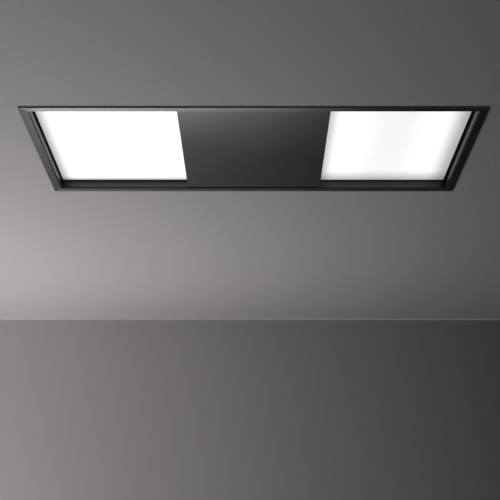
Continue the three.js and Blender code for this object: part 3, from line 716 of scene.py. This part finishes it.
def makeDuctCollar():
    low, high = boxOf("duct_collar")
    x, z = (low.x + high.x) / 2, (low.z + high.z) / 2
    radius, sheet, bend, edge, clear = (collar[key] for key in ("radius", "sheet", "bend", "edge", "clear"))
    half, bead, beadSteps = collar["beadHalf"], collar["bead"], collar["beadSteps"]
    flangeFace = boxOf("box_wall_far")[1].y + clear
    flangeTop, beadY = flangeFace + sheet, high.y - collar["beadAt"]
    outside = [(collar["flange"], flangeFace), (collar["flange"], flangeTop)]
    outside += [(radius + bend + r, flangeTop + bend + y)
                for r, y in arcOf((0, 0), bend, 270, 180, collar["bendSteps"])]
    bendEnd = len(outside) - 1
    outside += [(radius, beadY - half - collar["beadFoot"])]
    outside += [(radius + bead * math.sin(math.pi * i / beadSteps), beadY - half + 2 * half * i / beadSteps)
                for i in range(beadSteps + 1)]
    outside += [(radius, high.y - edge), (radius - edge, high.y)]
    inside = [(radius - sheet, high.y)] + [(r - sheet, y) for r, y in reversed(outside[bendEnd:-2])]
    inside += [(radius - sheet, low.y + edge), (radius - sheet + edge, low.y),
               (radius - clear, low.y), (radius - clear, flangeFace)]

    def build(work):
        addTurned(work, outside + inside, collar["steps"], alongY(x, 0, z))
    mesh = meshFrom("duct_collar_finished", build)
    mesh = shadeRound(mesh)
    finished("duct_collar_finished", mesh, "housing", "galvanised_steel", finishes["galvanised_steel"],
             "duct_collar")


makeDuctCollar()


def makeRod(node, axis, chamfer, steps=32):
    # a round bar with broken ends, sized by its node
    low, high = boxOf(node)
    middle = (low + high) / 2
    across = "y" if axis == "x" else "x"
    radius = (getattr(high, across) - getattr(low, across)) / 2
    start, end = getattr(low, axis), getattr(high, axis)
    profile = [(0, start), (radius - chamfer, start), (radius, start + chamfer), (radius, end - chamfer),
               (radius - chamfer, end), (radius * 0.5, end), (0, end)]
    place = {"x": alongX(0, middle.y, middle.z), "y": alongY(middle.x, 0, middle.z),
             "z": alongZ(middle.x, middle.y, 0)}[axis]
    mesh = meshFrom(f"{node}_finished", lambda work: addTurned(work, profile, steps, place, closed=False))
    mesh = shadeRound(mesh, 30)
    slotName = slotOf[node]
    finished(f"{node}_finished", mesh, bodyOf[node], slotName, finishes[slotName], node)


for side in ("left", "right"):
    makeRod(f"hinge_pin_{side}", "x", 0.4)
    makeRod(f"catch_plunger_{side}", "z", 0.5)
makeRod("motor_shaft", "z", 0.5)
makeRod("damper_pin", "z", 0.4)
print("panel, lid, collar and rods made")


case = {
    "corner": 3.0, "edge": 1.2, "seamDeep": 0.8, "seamHigh": 1.0, "lidShare": 0.72, "field": 7.0, "sunk": 0.8,
    "fieldSlope": 0.6,
}


def makeCase(node):
    # a moulded case: base and lid meet in a seam, and the lid has a slightly sunk field
    low, high = boxOf(node)
    seam = low.z + (high.z - low.z) * case["lidShare"]
    edge, deep, tall, field = case["edge"], case["seamDeep"], case["seamHigh"], case["field"]
    near = edge * 0.3
    profile = [(edge, low.z), (near, low.z + near), (0, low.z + edge), (0, seam), (deep, seam + 0.1),
               (deep, seam + tall), (0, seam + tall + 0.1), (0, high.z - edge), (near, high.z - near),
               (edge, high.z), (field, high.z), (field + case["fieldSlope"], high.z - case["sunk"])]

    def build(work):
        addLofted(work, low, high, profile, case["corner"])
    mesh = meshFrom(f"{node}_finished", build)
    mesh = shadeRound(mesh)
    finished(f"{node}_finished", mesh, "housing", slotOf[node], finishes[slotOf[node]], node)


for node in ("control_box", "lamp_driver", "terminal_box"):
    makeCase(node)


motorShell = {
    "radius": 55.0, "flangeThick": 4.0, "flangeEdge": 0.5, "foot": 4.0, "footRise": 2.0, "dome": 8.0,
    "domeSteps": 5, "steps": 72, "capOuter": 24.0, "capInner": 10.0, "capSlope": 2.0, "capDeep": 2.5,
    "fins": 28, "finRise": 8.0, "finHigh": 22.0, "finOut": 3.4, "finHalf": 0.9, "finTaper": 0.7,
    "finSlope": 1.5,
}


def makeMotor():
    low, high = boxOf("motor")
    middle = (low + high) / 2
    flangeRadius = (high.x - low.x) / 2
    base, top = low.z, high.z
    body = motorShell["radius"] - motorShell["finOut"]
    edge, foot = motorShell["flangeEdge"], motorShell["foot"]
    bend, domeSteps = motorShell["dome"], motorShell["domeSteps"]
    flangeTop = base + motorShell["flangeThick"]
    capOuter, capInner, slope = motorShell["capOuter"], motorShell["capInner"], motorShell["capSlope"]
    capFloor = top - motorShell["capDeep"]
    profile = [(0, base), (flangeRadius - edge, base), (flangeRadius, base + edge),
               (flangeRadius, flangeTop - edge), (flangeRadius - edge, flangeTop), (body + foot, flangeTop),
               (body, flangeTop + motorShell["footRise"])]
    profile += [(body - bend + r, top - bend + z) for r, z in arcOf((0, 0), bend, 0, 90, domeSteps)]
    profile += [(capOuter, top), (capOuter - slope, capFloor), (capInner + slope, capFloor),
                (capInner, top - edge), (0, top - edge)]

    def build(work):
        addTurned(work, profile, motorShell["steps"], alongZ(middle.x, middle.y, 0), closed=False)
    shell = meshFrom("motor_shell", build)
    shell = shadeRound(shell)

    def buildFin(work):
        half, tall, out = motorShell["finHalf"], motorShell["finHigh"], motorShell["finOut"]
        for vert in addBlock(work, (-1.0, -half, 0), (out, half, tall)):
            if vert.co.x > 0:  # the outer edge is thinner and shorter than the root
                vert.co.y *= motorShell["finTaper"]
                vert.co.z += motorShell["finSlope"] * (1 if vert.co.z < tall / 2 else -1)
    fin = template("coolingFin", meshFrom("coolingFin", buildFin))
    fins = grown("motor_fins", bpy.data.meshes.new("empty"), finRing, {
        "Count": motorShell["fins"], "Radius": body * mm, "Fin": fin, "Finish": finishes["motor_paint"]})
    fins.transform(Matrix.Translation((middle.x * mm, middle.y * mm, (base + motorShell["finRise"]) * mm)))
    finished("motor_shell", shell, "housing", "motor_paint", finishes["motor_paint"], "motor")
    finished("motor_fins", fins, "housing", "motor_paint", finishes["motor_paint"])


makeMotor()


gland = {
    "radius": 10.0, "bore": 5.0, "ribs": 20, "ribDeep": 0.5,
    "nutFlats": 6, "nutLong": 6.0, "nutEdge": 1.2, "nutSoft": 0.3,
    "neck": 9.6, "dome": 4.0, "crest": 8.6, "root": 8.0, "pitch": 1.3, "turns": 5, "clear": 0.3,
}


def makeGland():
    low, high = boxOf("cable_gland")
    middle = (low + high) / 2
    wall = boxOf("box_wall_right")[1].x + gland["clear"]
    nut = min(high.y - middle.y, high.z - middle.z)
    nutEnd, radius, bore, dome = wall + gland["nutLong"], gland["radius"], gland["bore"], gland["dome"]
    crest, root, pitch, neck = gland["crest"], gland["root"], gland["pitch"], gland["neck"]
    steps = gland["ribs"] * 4
    place = alongX(0, middle.y, middle.z)

    def build(work):
        inside = [(bore, high.x - 1.2), (bore, low.x + 0.5), (bore + 0.5, low.x)]
        thread = [(crest - 0.4, low.x), (crest, low.x + 0.5)]
        for i in range(gland["turns"]):  # the moulded thread that shows inside the box
            start = low.x + 0.8 + i * pitch
            thread += [(crest, start), (root, start + pitch / 2)]
        cap = [(crest, wall), (neck, wall), (neck, nutEnd), (radius, nutEnd + 0.2), (radius, high.x - dome)]
        cap += [(radius - dome + r, high.x - dome + x) for r, x in arcOf((0, 0), dome, 0, 80, 4)]
        profile = thread + cap + [(bore + 0.6, high.x - 0.3)] + inside
        addTurned(work, profile, steps, place)
        for vert in work.verts:
            across = Vector((vert.co.y - middle.y, vert.co.z - middle.z))
            if across.length > radius - 0.05 and nutEnd + 1 < vert.co.x < high.x - dome + 0.1:
                wave = math.cos(gland["ribs"] * math.atan2(across.y, across.x))
                across *= 1 - gland["ribDeep"] * (0.5 + 0.5 * wave) / across.length
                vert.co.y, vert.co.z = middle.y + across.x, middle.z + across.y
    mesh = meshFrom("cable_gland_finished", build)
    mesh = shadeRound(mesh, 35)
    finished("cable_gland_finished", mesh, "housing", "black_plastic", finishes["black_plastic"],
             "cable_gland")

    def buildNut(work):
        edge, hole = gland["nutEdge"], neck + 0.1
        profile = [(hole, wall), (nut - edge * 0.6, wall), (nut, wall + edge * 0.5),
                   (nut, nutEnd - edge * 0.5), (nut - edge * 0.6, nutEnd), (hole, nutEnd)]
        addTurned(work, profile, gland["nutFlats"], place)
    nutMesh = brokenEdges(meshFrom("gland_nut", buildNut), gland["nutSoft"])
    finished("gland_nut", nutMesh, "housing", "black_plastic", finishes["black_plastic"])


makeGland()
print("electrics, motor and gland made")


strand = {"halfLong": 5.0, "halfShort": 2.6, "width": 0.45, "slant": 1.6, "thick": 0.5, "z": 30.6,
          "marginX": 12.0, "marginY": 6.0}


def strandShape():
    # one opening of the expanded sheet: a flattened four-sided ring whose corners meet the next ones
    def build(work):
        a, b, w, thick = strand["halfLong"], strand["halfShort"], strand["width"], strand["thick"]
        rings = []
        for grow, z in ((w, 0.0), (w, thick), (-w, thick), (-w, 0.0)):
            x, y = a + grow * strand["slant"], b + grow
            rings.append([work.verts.new(point) for point in ((x, 0, z), (0, y, z), (-x, 0, z), (0, -y, z))])
        for here, there in zip(rings, rings[1:] + rings[:1]):
            for i in range(4):
                k = (i + 1) % 4
                work.faces.new((here[i], here[k], there[k], there[i]))
    return template("netStrand", meshFrom("netStrand", build))


def makeFilterNets():
    shape = strandShape()
    long, short = 2 * strand["halfLong"], 2 * strand["halfShort"]
    for side in ("near", "far"):
        low, high = boxOf(f"filter_mesh_{side}")
        columns = int((high.x - low.x - strand["marginX"]) / long) + 1
        rows = int((high.y - low.y - strand["marginY"]) / short) + 1
        made = grown(f"filter_net_{side}", bpy.data.meshes.new("empty"), net, {
            "Columns": columns, "Rows": rows, "Width": (columns - 1) * long * mm,
            "Depth": (rows - 1) * short * mm, "Strand": shape, "Finish": finishes["aluminium"]})
        middle = (low + high) / 2
        made.transform(Matrix.Translation((middle.x * mm, middle.y * mm, strand["z"] * mm)))
        finished(f"filter_net_{side}", made, "housing", "aluminium", finishes["aluminium"])


makeFilterNets()
print("filter nets made")


fixing = {
    "edge": 7.0, "spacing": 95.0, "foot": 8.0, "footThick": 1.5, "footEndY": 20.0, "footEndX": 40.0,
    "collarGap": 60.0, "slotScrew": 88.0, "slotAcross": 17.0, "slotProud": 0.15, "lipScrew": 5.0,
    "lidLong": (-0.7, 0.0, 0.7), "lidShort": (-0.6, 0.6), "post": 60.0, "collarRing": 80.0, "collarRivets": 6,
}


def spaced(low, high, spacing):
    # even places between two ends, about one spacing apart
    count = max(1, round((high - low) / spacing))
    return [low + (high - low) * i / count for i in range(count + 1)]


def topRivets():
    # rows over the folds of the casing walls and partitions, and through the feet of the motor box
    low, high = boxOf("casing_top")
    edge, spacing, up = fixing["edge"], fixing["spacing"], (0, 0, 1)
    xs = spaced(low.x + 3 * edge, high.x - 3 * edge, spacing)
    ys = spaced(low.y + 5 * edge, high.y - 5 * edge, spacing)
    spots = [((x, y, high.z), up) for x in xs for y in (low.y + edge, high.y - edge)]
    spots += [((x, y, high.z), up) for y in ys for x in (low.x + edge, high.x - edge)]
    for side in ("left", "right"):
        partition = boxOf(f"partition_{side}")
        x = (partition[0].x + partition[1].x) / 2
        spots += [((x, y, high.z), up) for y in (low.y + 5 * edge, high.y - 5 * edge)]
    outX = boxOf("box_wall_right")[1].x - fixing["foot"]
    outY = boxOf("box_wall_far")[1].y - fixing["foot"]
    footTop, endX, endY = high.z + fixing["footThick"], outX - fixing["footEndX"], outY - fixing["footEndY"]
    ductX = boxOf("duct_collar")[0].x + collar["flange"]
    spots += [((side * outX, y, footTop), up) for side in (-1, 1) for y in spaced(-endY, endY, spacing)]
    spots += [((x, side * outY, footTop), up) for side in (-1, 1) for x in spaced(-endX, endX, spacing)
              if side < 0 or abs(x - ductX) > fixing["collarGap"]]
    return spots


def makeFasteners():
    head, eye = screwHead(), rivetHead()
    placeFasteners("top_rivets", topRivets(), eye, 1.15, "housing")

    slotSpots = []
    for end in ("near", "far"):
        for side, facing in (("left", -1), ("right", 1)):
            low, high = boxOf(f"hanger_{end}_{side}")
            face, middle = (low.x if facing < 0 else high.x), (low.y + high.y) / 2
            for across in (-fixing["slotAcross"], fixing["slotAcross"]):
                spot = (face + facing * fixing["slotProud"], middle + across, fixing["slotScrew"])
                slotSpots.append((spot, (facing, 0, 0)))
    placeFasteners("hanger_screws", slotSpots, head, 1.0, "housing")

    low, high = boxOf("box_lid")
    lipZ = low.z + fixing["lipScrew"]
    lidSpots = []
    for share in fixing["lidLong"]:
        lidSpots += [((high.x * share, low.y, lipZ), (0, -1, 0)), ((high.x * share, high.y, lipZ), (0, 1, 0))]
    for share in fixing["lidShort"]:
        lidSpots += [((low.x, high.y * share, lipZ), (-1, 0, 0)), ((high.x, high.y * share, lipZ), (1, 0, 0))]
    placeFasteners("lid_screws", lidSpots, head, 1.0, "housing")

    topZ = boxOf("casing_top")[1].z
    posts = []
    for side in ("left", "right"):
        low, high = boxOf(f"lamp_tray_{side}")
        inset = fixing["post"]
        posts += [((x, y, topZ), (0, 0, 1)) for x in (low.x + inset, high.x - inset)
                  for y in (low.y + inset, high.y - inset)]
    placeFasteners("tray_screws", posts, head, 1.0, "housing")

    low, high = boxOf("duct_collar")
    x, z = (low.x + high.x) / 2, (low.z + high.z) / 2
    ring, count = fixing["collarRing"], fixing["collarRivets"]
    flangeTop = boxOf("box_wall_far")[1].y + collar["clear"] + collar["sheet"]
    turns = [2 * math.pi * (i + 0.5) / count for i in range(count)]
    spots = [((x + ring * math.cos(a), flangeTop, z + ring * math.sin(a)), (0, 1, 0)) for a in turns]
    placeFasteners("collar_rivets", spots, eye, 1.0, "housing")


makeFasteners()
print("screws and rivets placed")


stage = {
    "left": -5.0, "right": 5.0, "near": -5.0, "far": 1.86, "openX": 0.5825, "openY": 0.2825,
    "underside": 0.0003, "top": 0.0125, "floor": -2.4,
    "ceilingSpan": (-0.9, 1.0), "nearTones": (0.088, 0.38), "farTones": (0.262, 0.55),
    # the far wall's tones are painted light falling from the left; its mirror tones are a painted reflection
    # seen only in the coat's sheen
    "wallSpan": (-1.0, 1.1), "wallPaintedLightTones": (0.134, 0.545), "paintedReflectionTones": (0.08, 0.95), "paintedReflectionCurve": 1.7,
    "tint": (1.0, 0.943, 0.99), "paleTone": (0.80, 0.80, 0.79),
}


def sheetWithOpening(name, z, material):
    outer = [(stage["left"], stage["near"]), (stage["right"], stage["near"]), (stage["right"], stage["far"]),
             (stage["left"], stage["far"])]
    inner = [(x * stage["openX"], y * stage["openY"]) for x, y in ((-1, -1), (1, -1), (1, 1), (-1, 1))]
    points = [(x, y, z) for x, y in outer + inner]
    faces = [(i, (i + 1) % 4, 4 + (i + 1) % 4, 4 + i) for i in range(4)]
    return stageMesh(name, points, faces, material)


def stageMesh(name, points, faces, material):
    mesh = bpy.data.meshes.new(name)
    mesh.from_pydata(points, [], faces)
    mesh.materials.append(material)
    made = bpy.data.objects.new(name, mesh)
    scene.collection.objects.link(made)


def tinted(key):
    return [tuple(tone * share for share in stage["tint"]) for tone in stage[key]]


def ceilingPaint():
    # paler at the left and towards the far wall, as the room's light falls
    s = Shader("ceilingPaint")
    x, y, _ = s.axes()
    across = s.spread(x, *stage["ceilingSpan"], 1.0, 0.0, "LINEAR")
    depth = s.spread(y, stage["ceilingSpan"][0], stage["far"], 0.0, 1.0, "LINEAR")
    rolled = s.noise(260, 3)
    share = across + (rolled - 0.5) * 0.03
    colour = s.mix(depth, s.mix(share, *tinted("nearTones")), s.mix(share, *tinted("farTones")))
    return s.surface({"Base Color": colour, "Roughness": 0.8, "Normal": s.bump(rolled, 0.0002, 0.12)})


def wallWithPaintedLight():
    # painted light: brighter at the left, where the room's light falls; glossy rays see a separate painted
    # reflection colour, so the coat mirrors this wall with more contrast than the camera sees in it
    s = Shader("wallWithPaintedLight")
    x, _, _ = s.axes()
    across = s.spread(x, *stage["wallSpan"], 1.0, 0.0, "LINEAR")
    rolled = s.noise(200, 3)
    share = across * 0.95 + (rolled - 0.5) * 0.03
    mirrored = s.node("ShaderNodeLightPath", output="Is Glossy Ray")
    seen = s.mix(share, *tinted("wallPaintedLightTones"))
    # painted reflection: glossy rays see their own colour instead of the wall's colour
    colour = s.mix(mirrored, seen, s.mix(across.power(stage["paintedReflectionCurve"]), *tinted("paintedReflectionTones")))
    return s.surface({"Base Color": colour, "Roughness": 0.8})


def makeStage():
    sheetWithOpening("ceilingUnderside", stage["underside"], ceilingPaint())
    pale = plaster("paleFloor", tuple(0.97 * c for c in stage["paleTone"]), stage["paleTone"], 120)
    sheetWithOpening("floorAbove", stage["top"], pale)
    left, right, near, far, floor = (stage[key] for key in ("left", "right", "near", "far", "floor"))
    backEdge = [(left, far, floor), (right, far, floor)]
    stageMesh("farWall", backEdge + [(right, far, 0), (left, far, 0)], [(0, 1, 2, 3)], wallWithPaintedLight())
    stageMesh("paleFloorBelow", [(left, near, floor), (right, near, floor)] + backEdge[::-1],
              [(0, 1, 2, 3)], pale)


lamps = {
    "roomGlow": {"place": (-2.2, 1.2, -1.9), "aim": (-0.4, 0.0, 0.0), "size": (1.6, 1.2), "power": 34.0},
    "voidLight": {"place": (-1.8, -2.0, 3.2), "aim": (0.0, 0.0, 0.1), "size": (2.4, 2.4), "power": 150.0},
    "voidFill": {"place": (2.6, 2.2, 2.6), "aim": (0.0, 0.0, 0.1), "size": (2.0, 2.0), "power": 60.0},
}


# A low row of soft lamps before the far wall, brightest at the left: the black coat mirrors it as its sheen.
lampRow = {"count": 12, "left": -0.99, "right": 0.47, "y": 1.72, "z": -1.37, "high": 0.88, "glow": 4.9}


def makeLamp(name, place, aim, size, power):
    data = bpy.data.lights.new(name, "AREA")
    data.shape = "RECTANGLE"
    data.size, data.size_y = size
    data.energy = power
    made = bpy.data.objects.new(name, data)
    made.location = place
    made.rotation_euler = (Vector(aim) - Vector(place)).to_track_quat("-Z", "Y").to_euler()
    scene.collection.objects.link(made)


def makeLamps():
    for name, lamp in lamps.items():
        makeLamp(name, lamp["place"], lamp["aim"], lamp["size"], lamp["power"])
    count, y, z, high = (lampRow[key] for key in ("count", "y", "z", "high"))
    step = (lampRow["right"] - lampRow["left"]) / count
    for i in range(count):
        x = lampRow["left"] + (i + 0.5) * step
        glow = lampRow["glow"] * (1 - (i + 0.5) / count)
        makeLamp(f"rowLamp{i}", (x, y, z), (x, y - 1, z), (step, high), glow * math.pi * step * high)


studio = {"level": 0.45, "seen": (0.86, 0.86, 0.86)}


def makeWorld():
    world = bpy.data.worlds.new("studio")
    scene.world = world
    world.use_nodes = True
    tree = world.node_tree
    tree.nodes.clear()
    rays = tree.nodes.new("ShaderNodeLightPath")
    plain = tree.nodes.new("ShaderNodeBackground")
    plain.inputs["Color"].default_value = (1.0, 1.0, 1.0, 1)
    plain.inputs["Strength"].default_value = studio["level"]
    seen = tree.nodes.new("ShaderNodeBackground")
    seen.inputs["Color"].default_value = (*studio["seen"], 1)
    chosen = tree.nodes.new("ShaderNodeMixShader")
    out = tree.nodes.new("ShaderNodeOutputWorld")
    tree.links.new(rays.outputs["Is Camera Ray"], chosen.inputs[0])
    tree.links.new(plain.outputs[0], chosen.inputs[1])
    tree.links.new(seen.outputs[0], chosen.inputs[2])
    tree.links.new(chosen.outputs[0], out.inputs[0])


makeStage()
makeLamps()
makeWorld()
scene.view_settings.view_transform = "Standard"
for shape in templates:
    bpy.data.objects.remove(shape)
print("stage and lamps set")
